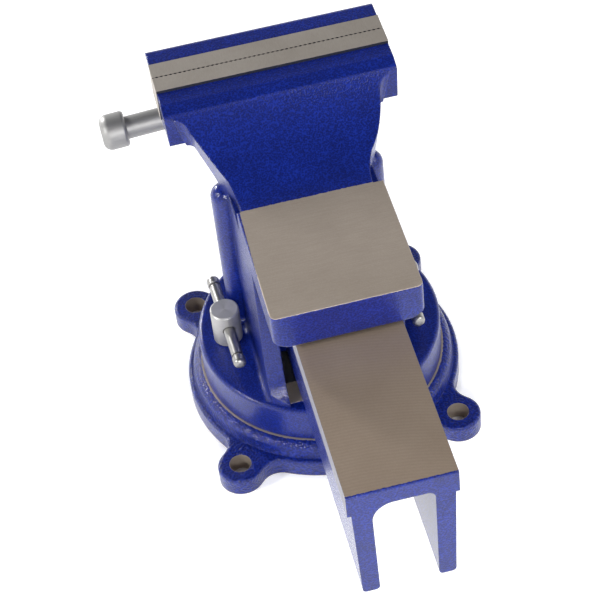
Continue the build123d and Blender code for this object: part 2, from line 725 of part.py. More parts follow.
def take_up_spring():
    """Compression spring that keeps the screw's head against the front boss."""
    wire_run = spring_length - 2 * (spring_wire_r + spring_play)
    path = Helix(wire_run / spring_turns, wire_run, spring_mean_r)
    wire = sweep(Plane(path @ 0, z_dir=path % 0) * Circle(spring_wire_r), path=path, is_frenet=True)
    return Pos(0, spring_y + spring_wire_r + spring_play, screw_z) * Rot(-90, 0, 0) * wire


def nut_bolt_ys():
    """Where the two bolts of the nut stand."""
    return (nut_front_y - nut_foot_overhang + nut_bolt_head_r + nut_bolt_inset,
            nut_front_y + nut_length + nut_foot_overhang - nut_bolt_head_r - nut_bolt_inset)


def main_nut():
    rear = nut_front_y + nut_length
    foot = block(-nut_half_width, nut_half_width, nut_front_y - nut_foot_overhang,
                 rear + nut_foot_overhang, disc_top, disc_top + nut_foot_height)
    foot = fillet(foot.edges().filter_by(Axis.Z), nut_corner_r)
    nut = foot + block(-nut_half_width, nut_half_width, nut_front_y, rear, disc_top, screw_z)
    nut += rod_y(nut_half_width, 0, screw_z, nut_front_y, rear)
    nut -= rod_y(screw_r + screw_clearance, 0, screw_z, nut_front_y - 1, rear + 1)
    for y in nut_bolt_ys():
        nut -= rod_z(nut_bolt_r + seat_play, 0, y, disc_top - 1, disc_top + nut_bolt_reach + 2)
    return nut


def nut_bolt():
    """Hexagon bolt standing head down, its bearing face at z = 0."""
    head = Pos(0, 0, -nut_bolt_head_height) * extrude(
        RegularPolygon(nut_bolt_head_r, 6, major_radius=False), amount=nut_bolt_head_height)
    shank = rod_z(nut_bolt_r, 0, 0, 0, nut_washer_thickness + disc_floor + nut_bolt_reach)
    return head + shank


# ---------------------------------------------------------------- handle
def handle_place(along_bar):
    """The bar's own frame: its axis along local X, tilted in the screw's head."""
    return Pos(0, handle_y, screw_z) * Rot(0, handle_tilt, 0) * Pos(along_bar, 0, 0)


def handle_bar():
    length = handle_grip - knob_length + 2 * knob_bore_depth
    bar = Rot(0, 90, 0) * Cylinder(handle_r, length)
    return handle_place(handle_offset) * chamfer(bar.edges().filter_by(GeomType.CIRCLE), handle_chamfer)


def handle_knob(side):
    knob = Rot(0, 90, 0) * Cylinder(knob_r, knob_length)
    outer = knob.edges().filter_by(GeomType.CIRCLE).sort_by(Axis.X)
    knob = fillet(outer[-1], knob_round_r)
    knob = fillet(knob.edges().filter_by(GeomType.CIRCLE).sort_by(Axis.X)[0], knob_inner_r)
    bore = Rot(0, 90, 0) * Cylinder(handle_r + seat_play, knob_bore_depth)
    knob -= Pos((knob_bore_depth - knob_length) / 2, 0, 0) * bore
    turn = Rot(0, 0, 0) if side > 0 else Rot(0, 0, 180)
    return handle_place(handle_offset + side * handle_grip / 2) * turn * knob


# ---------------------------------------------------------------- swivel locks
def lock_bolt(side):
    top = disc_top + lock_head_height
    head = rod_z(lock_head_r, side * lock_x, lock_y, disc_top, top)
    head = chamfer(head.edges().filter_by(GeomType.CIRCLE), lock_head_chamfer)
    bolt = head + rod_z(lock_shank_r, side * lock_x, lock_y, lug_top - lug_thickness - 1, disc_top)
    hole = rod_y(lock_bar_r + lock_bar_clearance, 0, 0, -2 * lock_head_r, 2 * lock_head_r)
    return bolt - lock_bar_place(side) * hole


def lock_bar_place(side):
    """The bar's own frame: its middle on the bolt's axis, its length along local Y."""
    return Pos(side * lock_x, lock_y, lock_bar_z) * Rot(0, 0, side * lock_bar_turn)


def lock_bar(side):
    """Bar with a groove and a thin end for each cap."""
    neck_end = lock_bar_length / 2 - lock_cap_length
    plain = neck_end - lock_groove
    tip = neck_end + lock_cap_bore_depth
    bar = rod_y(lock_bar_r, 0, 0, -plain, plain)
    bar += rod_y(lock_bar_r - lock_groove_depth, 0, 0, -neck_end, neck_end)
    return lock_bar_place(side) * (bar + rod_y(lock_cap_bore_r, 0, 0, -tip, tip))


def lock_cap(side, end):
    """Rounded button pressed on one end of the bar."""
    cap = rod_y(lock_cap_r, 0, 0, 0, lock_cap_length)
    cap = fillet(cap.edges().filter_by(GeomType.CIRCLE).sort_by(Axis.Y)[-1], lock_cap_round_r)
    cap = fillet(cap.edges().filter_by(GeomType.CIRCLE).sort_by(Axis.Y)[0], lock_cap_edge_r)
    cap -= rod_y(lock_cap_bore_r + seat_play, 0, 0, -1, lock_cap_bore_depth)
    start = lock_bar_length / 2 - lock_cap_length
    turn = Rot(0, 0, 0) if end > 0 else Rot(0, 0, 180)
    return lock_bar_place(side) * Pos(0, end * start, 0) * turn * cap


def lock_lug(side):
    """Clamp lug on the lock bolt: it hooks under the ledge of the base."""
    lug = block(lock_x - lug_tail, lock_x + lug_reach, lock_y - lug_half_width, lock_y + lug_half_width,
                lug_top - lug_thickness, lug_top)
    lug = fillet(lug.edges().filter_by(Axis.Z), lug_corner_r)
    lug -= rod_z(lock_shank_r + lock_clearance, lock_x, lock_y, 0, big)
    return lug if side > 0 else mirror(lug, Plane.YZ)


# ---------------------------------------------------------------- every piece, by node
def placed_pair(piece, places):
    """The same piece at several places, as one group of separate solids."""
    return Compound([place * piece for place in places])


def pieces():
    plate = jaw_plate()
    to_sliding = Pos(0, sliding_face_y, jaw_top) * Rot(0, 0, 180)
    to_fixed = Pos(0, fixed_face_y, jaw_top)
    screw_spots = [Pos(x, 0, -plate_height / 2) for x in (-plate_screw_span / 2, plate_screw_span / 2)]
    bolt_z = floor_bottom - nut_washer_thickness
    bolt_spots = [Pos(0, y, bolt_z) for y in nut_bolt_ys()]
    nut_washer = rod_z(nut_bolt_head_r + nut_washer_rim, 0, 0, 0, nut_washer_thickness)
    nut_washer -= rod_z(nut_bolt_r + bolt_clearance, 0, 0, -1, nut_washer_thickness + 1)
    made = {
        "swivel_base": swivel_base(),
        "fixed_jaw_body": fixed_jaw_body(),
        "sliding_jaw": sliding_jaw(),
        "fixed_jaw_plate": to_fixed * plate,
        "sliding_jaw_plate": to_sliding * plate,
        "fixed_plate_screws": placed_pair(plate_screw(), [to_fixed * spot for spot in screw_spots]),
        "sliding_plate_screws": placed_pair(plate_screw(), [to_sliding * spot for spot in screw_spots]),
        "main_screw": main_screw(),
        "thrust_washer": washer(washer_r, washer_thickness, shoulder_y),
        "inner_washer": washer(inner_washer_r, inner_washer_thickness, channel_start_y),
        "take_up_spring": take_up_spring(),
        "retaining_collar": retaining_collar(),
        "collar_pin": collar_pin(),
        "main_nut": main_nut(),
        "nut_bolts": placed_pair(nut_bolt(), bolt_spots),
        "nut_washers": placed_pair(nut_washer, bolt_spots),
        "handle_bar": handle_bar(),
        "handle_knob_right": handle_knob(1),
        "handle_knob_left": handle_knob(-1),
    }
    for name, side in (("right", 1), ("left", -1)):
        made["lock_bolt_" + name] = lock_bolt(side)
        made["lock_bar_" + name] = lock_bar(side)
        made["lock_bar_caps_" + name] = Compound([lock_cap(side, end) for end in (-1, 1)])
        made["lock_lug_" + name] = lock_lug(side)
    return made


os.makedirs("parts", exist_ok=True)
for node, shape in pieces().items():
    export_step(one(shape), "parts/" + node + ".step")
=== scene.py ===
import json
from math import cos, pi, radians, sin, sqrt

import bmesh
import bpy
from mathutils import Matrix, Vector


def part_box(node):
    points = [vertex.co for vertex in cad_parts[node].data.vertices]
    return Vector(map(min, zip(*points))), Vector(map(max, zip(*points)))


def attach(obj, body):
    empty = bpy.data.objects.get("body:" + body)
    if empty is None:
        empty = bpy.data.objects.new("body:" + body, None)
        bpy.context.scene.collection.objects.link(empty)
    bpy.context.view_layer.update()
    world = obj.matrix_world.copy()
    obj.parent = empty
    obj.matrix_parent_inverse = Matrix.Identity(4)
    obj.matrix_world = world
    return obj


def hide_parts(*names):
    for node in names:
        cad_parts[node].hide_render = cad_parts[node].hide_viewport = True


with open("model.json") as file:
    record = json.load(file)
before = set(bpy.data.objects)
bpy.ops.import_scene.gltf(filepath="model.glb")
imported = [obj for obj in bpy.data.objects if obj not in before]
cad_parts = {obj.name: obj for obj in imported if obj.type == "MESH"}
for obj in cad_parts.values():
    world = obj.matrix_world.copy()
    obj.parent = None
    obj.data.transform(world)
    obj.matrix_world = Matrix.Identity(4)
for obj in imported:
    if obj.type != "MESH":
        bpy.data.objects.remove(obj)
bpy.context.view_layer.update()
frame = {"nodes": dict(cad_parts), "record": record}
MM = 0.001

# ---------------------------------------------------------------- places on the castings
# from the frame
bench_bolts, _, anvil_face = frame["record"]["mounts"][:3]
anvil_top = anvil_face["pos_m"][2]
hole_offset = bench_bolts["dims"]["pcd_mm"] * MM / 2 / sqrt(2)
hole_r = bench_bolts["dims"]["hole_r_mm"] * MM
tail_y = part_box("sliding_jaw")[1].y
seam_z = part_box("swivel_base")[1].z
lock_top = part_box("lock_bolt_right")[1].z
plate_low, plate_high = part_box("fixed_jaw_plate")
screw_low, screw_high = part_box("main_screw")
screw_z = (screw_low.z + screw_high.z) / 2
shoulder_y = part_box("thrust_washer")[0].y
collar_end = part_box("retaining_collar")[1].y

# sizes that the frame's boxes don't give
beam_top = screw_z + 49.2 * MM
beam_half = 32.8 * MM
flange_low = beam_top - 17.0 * MM
anvil_front = 22.5 * MM
anvil_edge = 43.6 * MM        # where the milling of its top stops, on the +X side
anvil_slew = 0.028            # of that edge from square
floor_z = seam_z + 27.2 * MM
pad_start, pad_end = 48.6 * MM, 66.0 * MM
tunnel_half = 35.3 * MM
covered_r = 92 * MM           # of the floor under the base's foot
covered_ear_r = 12 * MM       # and under each ear, round its bench hole

# the thread
screw_r = 12 * MM
screw_lead = 6 * MM
screw_chamfer = 2 * MM
thread_depth = 2.6 * MM
thread_crest = 0.36           # share of a turn
thread_flank = 0.10
thread_start = collar_end + 4 * MM
thread_end = screw_high.y - 3 * MM
around = 36                   # points to a turn
rings_per_lead = 16


# ---------------------------------------------------------------- material graph
class Graph:
    """Short calls for the nodes of one material."""

    def __init__(self, name):
        self.material = bpy.data.materials.new(name)
        self.material.use_nodes = True
        self.tree = self.material.node_tree
        self.tree.nodes.clear()
        self.shader = self.tree.nodes.new("ShaderNodeBsdfPrincipled")
        output = self.tree.nodes.new("ShaderNodeOutputMaterial")
        self.tree.links.new(self.shader.outputs[0], output.inputs[0])
        self.place = self.tree.nodes.new("ShaderNodeTexCoord").outputs["Object"]

    def node(self, kind, settings=None, **inputs):
        made = self.tree.nodes.new("ShaderNode" + kind)
        for key, value in (settings or {}).items():
            setattr(made, key, value)
        for key, value in inputs.items():
            self.feed(made.inputs[key.replace("_", " ")], value)
        return made

    def feed(self, socket, value):
        if isinstance(value, bpy.types.NodeSocket):
            self.tree.links.new(value, socket)
        else:
            socket.default_value = value

    def put(self, **inputs):
        for key, value in inputs.items():
            self.feed(self.shader.inputs[key.replace("_", " ")], value)

    def math(self, operation, a, b=0.0, clamp=False):
        made = self.node("Math", {"operation": operation, "use_clamp": clamp})
        self.feed(made.inputs[0], a)
        self.feed(made.inputs[1], b)
        return made.outputs[0]

    def axes(self):
        split = self.node("SeparateXYZ", Vector=self.place)
        return split.outputs[0], split.outputs[1], split.outputs[2]

    def stretched(self, x=1.0, y=1.0, z=1.0):
        return self.node("Mapping", Vector=self.place, Scale=(x, y, z)).outputs[0]

    def noise(self, scale, detail=2.0, roughness=0.5, vector=None):
        made = self.node("TexNoise", Vector=vector or self.place, Scale=scale, Detail=detail,
                         Roughness=roughness)
        return made.outputs["Fac"]

    def cells(self, scale, smooth=0.6, vector=None):
        made = self.node("TexVoronoi", {"feature": "SMOOTH_F1"}, Vector=vector or self.place,
                         Scale=scale, Smoothness=smooth)
        return made.outputs["Distance"]

    def ramp(self, fac, *stops):
        made = self.node("ValToRGB", Fac=fac)
        ramp = made.color_ramp
        while len(ramp.elements) < len(stops):
            ramp.elements.new(0.5)
        for element, (position, colour) in zip(ramp.elements, stops):
            element.position = position
            element.color = (*colour, 1.0) if isinstance(colour, tuple) else (colour,) * 3 + (1.0,)
        return made.outputs[0]

    def blend(self, fac, a, b):
        made = self.node("Mix", {"data_type": "RGBA"})
        self.feed(made.inputs[0], fac)
        self.feed(made.inputs[6], (*a, 1.0) if isinstance(a, tuple) else a)
        self.feed(made.inputs[7], (*b, 1.0) if isinstance(b, tuple) else b)
        return made.outputs[2]

    def between(self, fac, a, b):
        made = self.node("Mix", {"data_type": "FLOAT"})
        self.feed(made.inputs[0], fac)
        self.feed(made.inputs[2], a)
        self.feed(made.inputs[3], b)
        return made.outputs[0]

    def step(self, value, edge, width):
        """0 below the edge, 1 above it, over the width."""
        made = self.node("MapRange", {"clamp": True}, Value=value)
        made.inputs[1].default_value = edge - width / 2
        made.inputs[2].default_value = edge + width / 2
        return made.outputs[0]

    def waves(self, value, pitch):
        """A sine of this pitch."""
        return self.math("SINE", self.math("MULTIPLY", value, 2 * pi / pitch))

    def bump(self, height, strength, distance, normal=None):
        made = self.node("Bump", Height=height, Strength=strength, Distance=distance)
        if normal is not None:
            self.feed(made.inputs["Normal"], normal)
        return made.outputs[0]


# ---------------------------------------------------------------- finishes
# colours
# enamel blues that follow the relief of the peel: painted shade in its hollows, a painted highlight
# on its crests
PAINT_HOLLOW_SHADE = (0.0012, 0.006, 0.09)
PAINT_FACE = (0.0015, 0.011, 0.155)
PAINT_CREST_HIGHLIGHT = (0.005, 0.021, 0.25)
ANVIL_IRON = (0.40, 0.34, 0.28)
ANVIL_IRON_LIGHT = (0.50, 0.43, 0.365)
BEAM_IRON = (0.325, 0.25, 0.187)
BEAM_IRON_LIGHT = (0.41, 0.325, 0.25)
# flange sides: bare grey iron with a blue cast that is a painted reflection
SIDE_IRON_REFLECTED = (0.24, 0.24, 0.28)
SIDE_IRON_REFLECTED_LIGHT = (0.32, 0.32, 0.37)
IRON_LINE = (0.24, 0.19, 0.145)
BAR_STEEL = (0.44, 0.43, 0.415)
HANDLE_STEEL = (0.43, 0.425, 0.415)
LOCK_STEEL = (0.56, 0.55, 0.54)
SCREW_STEEL = (0.42, 0.41, 0.39)
PLATE_STEEL = (0.335, 0.296, 0.253)
PLATE_STEEL_LIGHT = (0.445, 0.405, 0.36)
PLATE_BLACK = (0.02, 0.022, 0.035)
BLACK_STEEL = (0.05, 0.05, 0.052)
SPRING_STEEL = (0.2, 0.2, 0.21)
ZINC = (0.6, 0.61, 0.63)
NUT_IRON = (0.16, 0.15, 0.145)
FLOOR_WHITE = (0.88, 0.88, 0.885, 1.0)

# textures, in cells or grains to the metre, and how far they stand out
PEEL_CELLS = 900
PEEL_GRAIN = 1700
PEEL_RELIEF = 0.26 * MM
BASE_CELLS = 640              # the base is cast more coarsely
BASE_RELIEF = 0.9 * MM
PAINT_EDGE_R = 1.4 * MM       # how far the paint rounds every edge
LOCK_EDGE_R = 0.5 * MM
STEEL_GRAIN = 900
MILL_PITCH = 2.3 * MM         # of the face mill's arcs along the beam
MILL_FINE_PITCH = 0.9 * MM
MILL_CURVE = 2.4              # their bend, towards the tail in metres per square metre
MILL_WANDER = 1.6 * MM
RING_PITCH = 0.45 * MM        # of the facing rings on the lock bolts


def hammered_enamel(graph, relief, cells):
    """Thick enamel over rough cast iron, with this relief and so many cells to the metre; its colour
    carries painted shade in the hollows of the peel and a painted highlight on its crests.
    """
    peel = graph.cells(cells, 0.5)
    fine = graph.noise(PEEL_GRAIN, 2.0)
    broad = graph.noise(45, 3.0)
    height = graph.math("ADD", peel, graph.math("MULTIPLY", fine, 0.6))
    # the colour follows the relief: painted shade in the hollows of the peel, a painted highlight on
    # its crests
    colour = graph.ramp(height, (0.45, PAINT_HOLLOW_SHADE), (0.75, PAINT_FACE), (1.0, PAINT_CREST_HIGHLIGHT))
    tone = graph.ramp(broad, (0.35, 0.8), (0.7, 1.0))
    shade = graph.node("Mix", {"data_type": "RGBA", "blend_type": "MULTIPLY"})
    shade.inputs[0].default_value = 1.0
    graph.feed(shade.inputs[6], colour)
    graph.feed(shade.inputs[7], tone)
    rough = graph.between(fine, 0.3, 0.5)
    soft = graph.node("Bevel", {"samples": 4}, Radius=PAINT_EDGE_R).outputs[0]
    return shade.outputs[2], rough, graph.bump(height, 0.45, relief, soft)


def paint_shader(graph):
    graph.put(Coat_Roughness=0.07, Specular_IOR_Level=0.2, Coat_IOR=1.45)


def machined_iron(graph, line_height, dark, light):
    """Milled cast iron between two tones, with the given tool lines: colour, roughness and normal."""
    grain = graph.noise(1100, 4.0, 0.6)
    patch = graph.noise(24, 3.0)
    mottle = graph.math("MULTIPLY", graph.math("ADD", grain, patch), 0.5)
    colour = graph.blend(graph.step(mottle, 0.5, 0.4), dark, light)
    lined = graph.blend(graph.math("MULTIPLY", line_height, 0.32), colour, IRON_LINE)
    rough = graph.between(grain, 0.38, 0.56)
    height = graph.math("ADD", graph.math("MULTIPLY", grain, 0.5), line_height)
    return lined, rough, graph.bump(height, 0.3, 0.1 * MM)


def painted_and_machined(name, mask_of, lines_of, tones_of, relief=PEEL_RELIEF, cells=PEEL_CELLS):
    """Paint everywhere but on the faces that were machined after painting."""
    graph = Graph(name)
    paint, paint_rough, paint_normal = hammered_enamel(graph, relief, cells)
    iron, iron_rough, iron_normal = machined_iron(graph, lines_of(graph), *tones_of(graph))
    mask = mask_of(graph)
    graph.put(Base_Color=graph.blend(mask, paint, iron))
    graph.put(Roughness=graph.between(mask, paint_rough, iron_rough))
    normal = graph.node("Mix", {"data_type": "VECTOR"})
    graph.feed(normal.inputs[0], mask)
    graph.feed(normal.inputs[4], paint_normal)
    graph.feed(normal.inputs[5], iron_normal)
    graph.put(Normal=normal.outputs[1], Metallic=graph.math("MULTIPLY", mask, 0.55))
    graph.put(Coat_Weight=graph.between(mask, 0.6, 0.0), Coat_Normal=paint_normal)
    paint_shader(graph)
    return graph.material


def ragged(graph, value, amount):
    """A coordinate with a small uneven wander, for the edge of the paint."""
    wander = graph.math("MULTIPLY", graph.math("SUBTRACT", graph.noise(420, 3.0), 0.5), amount)
    return graph.math("ADD", value, wander)


def both(graph, a, b):
    return graph.math("MULTIPLY", a, b)


def either(graph, a, b):
    return graph.math("MAXIMUM", a, b)


def below(graph, value, edge, width):
    return graph.math("SUBTRACT", 1.0, graph.step(value, edge, width))


def length(graph, a, b):
    squares = graph.math("MULTIPLY", a, a), graph.math("MULTIPLY", b, b)
    return graph.math("SQRT", graph.math("ADD", *squares))


def from_bench_hole(graph, x, y):
    """Distance from the axis of the nearest bench hole."""
    return length(graph, graph.math("SUBTRACT", graph.math("ABSOLUTE", x), hole_offset),
                  graph.math("SUBTRACT", graph.math("ABSOLUTE", y), hole_offset))


def anvil_mask(graph):
    """The anvil's milled top and the bare pad in the tunnel's floor."""
    x, y, z = graph.axes()
    top = graph.step(ragged(graph, z, 0.3 * MM), anvil_top - 0.35 * MM, 0.1 * MM)
    behind = graph.step(ragged(graph, y, 1.2 * MM), anvil_front - 0.2 * MM, 0.2 * MM)
    side = graph.math("SUBTRACT", x, graph.math("MULTIPLY", y, anvil_slew))
    within = below(graph, ragged(graph, side, 1.0 * MM), anvil_edge, 0.4 * MM)
    top = both(graph, both(graph, top, behind), within)
    pad = both(graph, graph.step(z, floor_z - 2 * MM, 0.2 * MM),
               below(graph, z, floor_z + 1.5 * MM, 0.2 * MM))
    pad = both(graph, pad, graph.step(y, pad_start, 0.4 * MM))
    pad = both(graph, pad, below(graph, ragged(graph, y, 1.0 * MM), pad_end, 0.4 * MM))
    pad = both(graph, pad, below(graph, graph.math("ABSOLUTE", x), tunnel_half, 0.4 * MM))
    return either(graph, top, pad)


def anvil_tones(graph):
    """The same two tones all over."""
    return ANVIL_IRON, ANVIL_IRON_LIGHT


def anvil_lines(graph):
    return graph.noise(260, 2.0, 0.5, graph.stretched(0.3, 4.0, 1.0))


def beam_mask(graph):
    """The beam's milled top and the sides of its flange, behind the jaw and short of the tail."""
    x, y, z = graph.axes()
    top = graph.step(ragged(graph, z, 0.3 * MM), beam_top - 0.3 * MM, 0.1 * MM)
    below_jaw = below(graph, z, beam_top + 2 * MM, 0.5 * MM)
    under_flange = graph.step(ragged(graph, z, 1.0 * MM), flange_low + 1.5 * MM, 0.4 * MM)
    bare = either(graph, top, both(graph, beam_side(graph), under_flange))
    inside = below(graph, ragged(graph, y, 1.5 * MM), tail_y - 1.3 * MM, 0.3 * MM)
    behind = graph.step(y, plate_low.y - 6 * MM, 1 * MM)
    return both(graph, both(graph, bare, below_jaw), both(graph, inside, behind))


def beam_side(graph):
    """The upright sides of the beam's flange."""
    x, y, z = graph.axes()
    return graph.step(graph.math("ABSOLUTE", x), beam_half - 0.15 * MM, 0.1 * MM)


def beam_tones(graph):
    """Browner on the milled top of the beam; the sides of its flange are grey iron with a blue cast
    that is a painted reflection.
    """
    side = beam_side(graph)
    return (graph.blend(side, BEAM_IRON, SIDE_IRON_REFLECTED),
            graph.blend(side, BEAM_IRON_LIGHT, SIDE_IRON_REFLECTED_LIGHT))


def beam_lines(graph):
    """Arcs left by a face mill that crossed the beam off centre, with finer ones between."""
    x, y, z = graph.axes()
    off = graph.math("SUBTRACT", x, beam_half)
    bend = graph.math("MULTIPLY", graph.math("MULTIPLY", off, off), MILL_CURVE)
    along = graph.math("SUBTRACT", y, bend)
    along = graph.math("ADD", along, graph.math("MULTIPLY", graph.noise(60, 3.0), MILL_WANDER))
    coarse = graph.math("MULTIPLY", graph.waves(along, MILL_PITCH), 0.6)
    finer = graph.math("MULTIPLY", graph.waves(along, MILL_FINE_PITCH), 0.3)
    both_lines = graph.math("ADD", coarse, finer)
    return graph.math("MULTIPLY", graph.math("ADD", both_lines, 1.0), 0.5)


def base_mask(graph):
    """The turned top edge of the base at the seam, the drilled bench holes and the underside."""
    x, y, z = graph.axes()
    rim = graph.step(ragged(graph, z, 0.1 * MM), seam_z - 0.07 * MM, 0.05 * MM)
    hole = ragged(graph, from_bench_hole(graph, x, y), 0.4 * MM)
    hole = below(graph, hole, hole_r + 0.15 * MM, 0.1 * MM)
    under = below(graph, z, 0.3 * MM, 0.2 * MM)
    return either(graph, either(graph, rim, hole), under)


def turned_lines(graph):
    """Fine lines round the base."""
    return graph.noise(500, 2.0, 0.5, graph.stretched(0.2, 0.2, 3.0))


def turned_steel(name, colour, rough_low, rough_high, x=1.0, y=1.0, z=1.0):
    """Bright steel with fine lines; the lines run across the axes that are stretched."""
    graph = Graph(name)
    lines = graph.noise(STEEL_GRAIN, 3.0, 0.6, graph.stretched(x, y, z))
    blot = graph.noise(90, 3.0)
    dark = tuple(c * 0.72 for c in colour)
    graph.put(Base_Color=graph.blend(lines, dark, colour))
    graph.put(Roughness=graph.between(graph.math("MULTIPLY", graph.math("ADD", lines, blot), 0.5),
                                      rough_low, rough_high))
    graph.put(Metallic=0.9, Normal=graph.bump(lines, 0.25, 0.08 * MM))
    return graph.material


def faced_steel(name, colour, centre):
    """Turned steel with a faced top: rings round its centre, and a painted sheen in its colour that
    fans out from it.
    """
    graph = Graph(name)
    x, y, z = graph.axes()
    dx, dy = graph.math("SUBTRACT", x, centre[0]), graph.math("SUBTRACT", y, centre[1])
    radius = length(graph, dx, dy)
    angle = graph.math("ARCTAN2", dy, dx)
    # painted sheen: lighter and darker sectors round the centre, put into the colour
    painted_sheen = graph.math("SINE", graph.math("MULTIPLY", graph.math("ADD", angle, 0.5), 2.0))
    sheen_spokes = graph.math("SINE", graph.math("MULTIPLY", angle, 5.0))
    painted_sheen = graph.math("ADD", painted_sheen, graph.math("MULTIPLY", sheen_spokes, 0.3))
    rings = graph.waves(radius, RING_PITCH)
    top = graph.step(z, lock_top - 0.4 * MM, 0.2 * MM)
    lines = graph.noise(STEEL_GRAIN, 3.0, 0.6, graph.stretched(0.3, 0.3, 4.0))
    sheen_and_rings = graph.math("ADD", graph.math("MULTIPLY", painted_sheen, 0.28),
                       graph.math("MULTIPLY", rings, 0.12))
    top_with_sheen = graph.math("ADD", sheen_and_rings, 0.6, True)
    tone = graph.between(top, lines, top_with_sheen)
    dark = tuple(c * 0.6 for c in colour)
    graph.put(Base_Color=graph.blend(tone, dark, colour))
    graph.put(Roughness=graph.between(tone, 0.5, 0.36), Metallic=0.6)
    soft = graph.node("Bevel", {"samples": 4}, Radius=LOCK_EDGE_R).outputs[0]
    relief = graph.between(top, lines, rings)
    graph.put(Normal=graph.bump(relief, 0.2, 0.06 * MM, soft))
    return graph.material


def plate_steel(name):
    """Ground tops and ends; every other face of the plate is near black."""
    graph = Graph(name)
    x, y, z = graph.axes()
    grain = graph.noise(STEEL_GRAIN, 3.0, 0.6, graph.stretched(5.0, 0.4, 1.0))
    patch = graph.noise(30, 3.0)
    mottle = graph.math("MULTIPLY", graph.math("ADD", grain, patch), 0.5)
    ground = graph.blend(graph.step(mottle, 0.5, 0.4), PLATE_STEEL, PLATE_STEEL_LIGHT)
    top = graph.step(ragged(graph, z, 0.3 * MM), plate_high.z - 0.25 * MM, 0.1 * MM)
    end = graph.step(graph.math("ABSOLUTE", x), plate_high.x - 0.15 * MM, 0.1 * MM)
    bare = either(graph, top, end)
    graph.put(Base_Color=graph.blend(bare, PLATE_BLACK, ground))
    graph.put(Roughness=graph.between(grain, 0.36, 0.55), Metallic=graph.between(bare, 0.3, 0.55))
    graph.put(Normal=graph.bump(grain, 0.25, 0.08 * MM))
    return graph.material


def rough_iron(name, colour):
    """Bare cast iron."""
    graph = Graph(name)
    grain = graph.noise(700, 4.0, 0.65)
    dark = tuple(c * 0.6 for c in colour)
    graph.put(Base_Color=graph.blend(grain, dark, colour))
    graph.put(Roughness=graph.between(grain, 0.5, 0.75))
    graph.put(Metallic=0.6, Normal=graph.bump(grain, 0.5, 0.3 * MM))
    return graph.material


def dress(node, material):
    """Gives a CAD node its finish."""
    for slot in frame["nodes"][node].material_slots:
        slot.material = material


base_finish = painted_and_machined("base_enamel_and_seam", base_mask, turned_lines, anvil_tones,
                                   BASE_RELIEF, BASE_CELLS)
body_finish = painted_and_machined("body_enamel_and_anvil", anvil_mask, anvil_lines, anvil_tones)
jaw_finish = painted_and_machined("jaw_enamel_and_beam", beam_mask, beam_lines, beam_tones)
plate_finish = plate_steel("ground_plate_steel")
handle_steel = turned_steel("satin_handle_steel", HANDLE_STEEL, 0.44, 0.6, x=0.08)
lock_steel = turned_steel("turned_lock_steel", BAR_STEEL, 0.22, 0.4, y=3.0)
screw_steel = turned_steel("screw_steel", SCREW_STEEL, 0.25, 0.45, y=3.0)
black_steel = turned_steel("black_steel", BLACK_STEEL, 0.35, 0.5)
spring_steel = turned_steel("spring_steel", SPRING_STEEL, 0.3, 0.5)
zinc = turned_steel("zinc_plate", ZINC, 0.25, 0.4)
nut_iron = rough_iron("nut_iron", NUT_IRON)

FINISHES = {
    "swivel_base": base_finish, "fixed_jaw_body": body_finish, "sliding_jaw": jaw_finish,
    "fixed_jaw_plate": plate_finish, "sliding_jaw_plate": plate_finish,
    "fixed_plate_screws": black_steel, "sliding_plate_screws": black_steel,
    "main_screw": screw_steel, "thrust_washer": screw_steel, "inner_washer": screw_steel,
    "take_up_spring": spring_steel, "retaining_collar": screw_steel, "collar_pin": spring_steel,
    "main_nut": nut_iron, "nut_bolts": zinc, "nut_washers": zinc, "handle_bar": handle_steel,
    "handle_knob_right": handle_steel, "handle_knob_left": handle_steel,
    "lock_lug_right": nut_iron, "lock_lug_left": nut_iron,
}
for side in ("right", "left"):
    for piece in ("lock_bar_", "lock_bar_caps_"):
        FINISHES[piece + side] = lock_steel
    bolt_low, bolt_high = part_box("lock_bolt_" + side)
    middle = (bolt_low + bolt_high) / 2
    FINISHES["lock_bolt_" + side] = faced_steel("faced_lock_" + side, LOCK_STEEL, middle)
for node, finish in FINISHES.items():
    dress(node, finish)


# ---------------------------------------------------------------- the thread
def thread_radius(y, turn):
    """Radius of the screw at a place along it and a share of a turn, with a trapezoid thread."""
    if y < thread_start or y > thread_end:
        return min(screw_r, screw_r - screw_chamfer + max(0.0, screw_high.y - y))
    phase = (y / screw_lead - turn) % 1.0
    if phase < thread_crest:
        cut = 0.0
    elif phase < thread_crest + thread_flank:
        cut = (phase - thread_crest) / thread_flank
    elif phase < 1.0 - thread_flank:
        cut = 1.0
    else:
        cut = (1.0 - phase) / thread_flank
    run_in = min(1.0, (y - thread_start) / screw_lead)
    return screw_r - thread_depth * cut * run_in


def threaded_shaft(mesh, start):
    """Closed shaft, ring by ring, from inside the screw's head to its tip."""
    step = screw_lead / rings_per_lead
    places = [start, thread_start]
    while places[-1] + step < screw_high.y:
        places.append(places[-1] + step)
    places.append(screw_high.y)
    rings = []
    for y in places:
        ring = []
        for k in range(around):
            turn = k / around
            r = thread_radius(y, turn)
            place = (r * cos(2 * pi * turn), y, screw_z - r * sin(2 * pi * turn))
            ring.append(mesh.verts.new(place))
        rings.append(ring)
    for a, b in zip(rings, rings[1:]):
        for k in range(around):
            n = (k + 1) % around
            mesh.faces.new((a[k], b[k], b[n], a[n]))
    mesh.faces.new(rings[0])
    mesh.faces.new(list(reversed(rings[-1])))


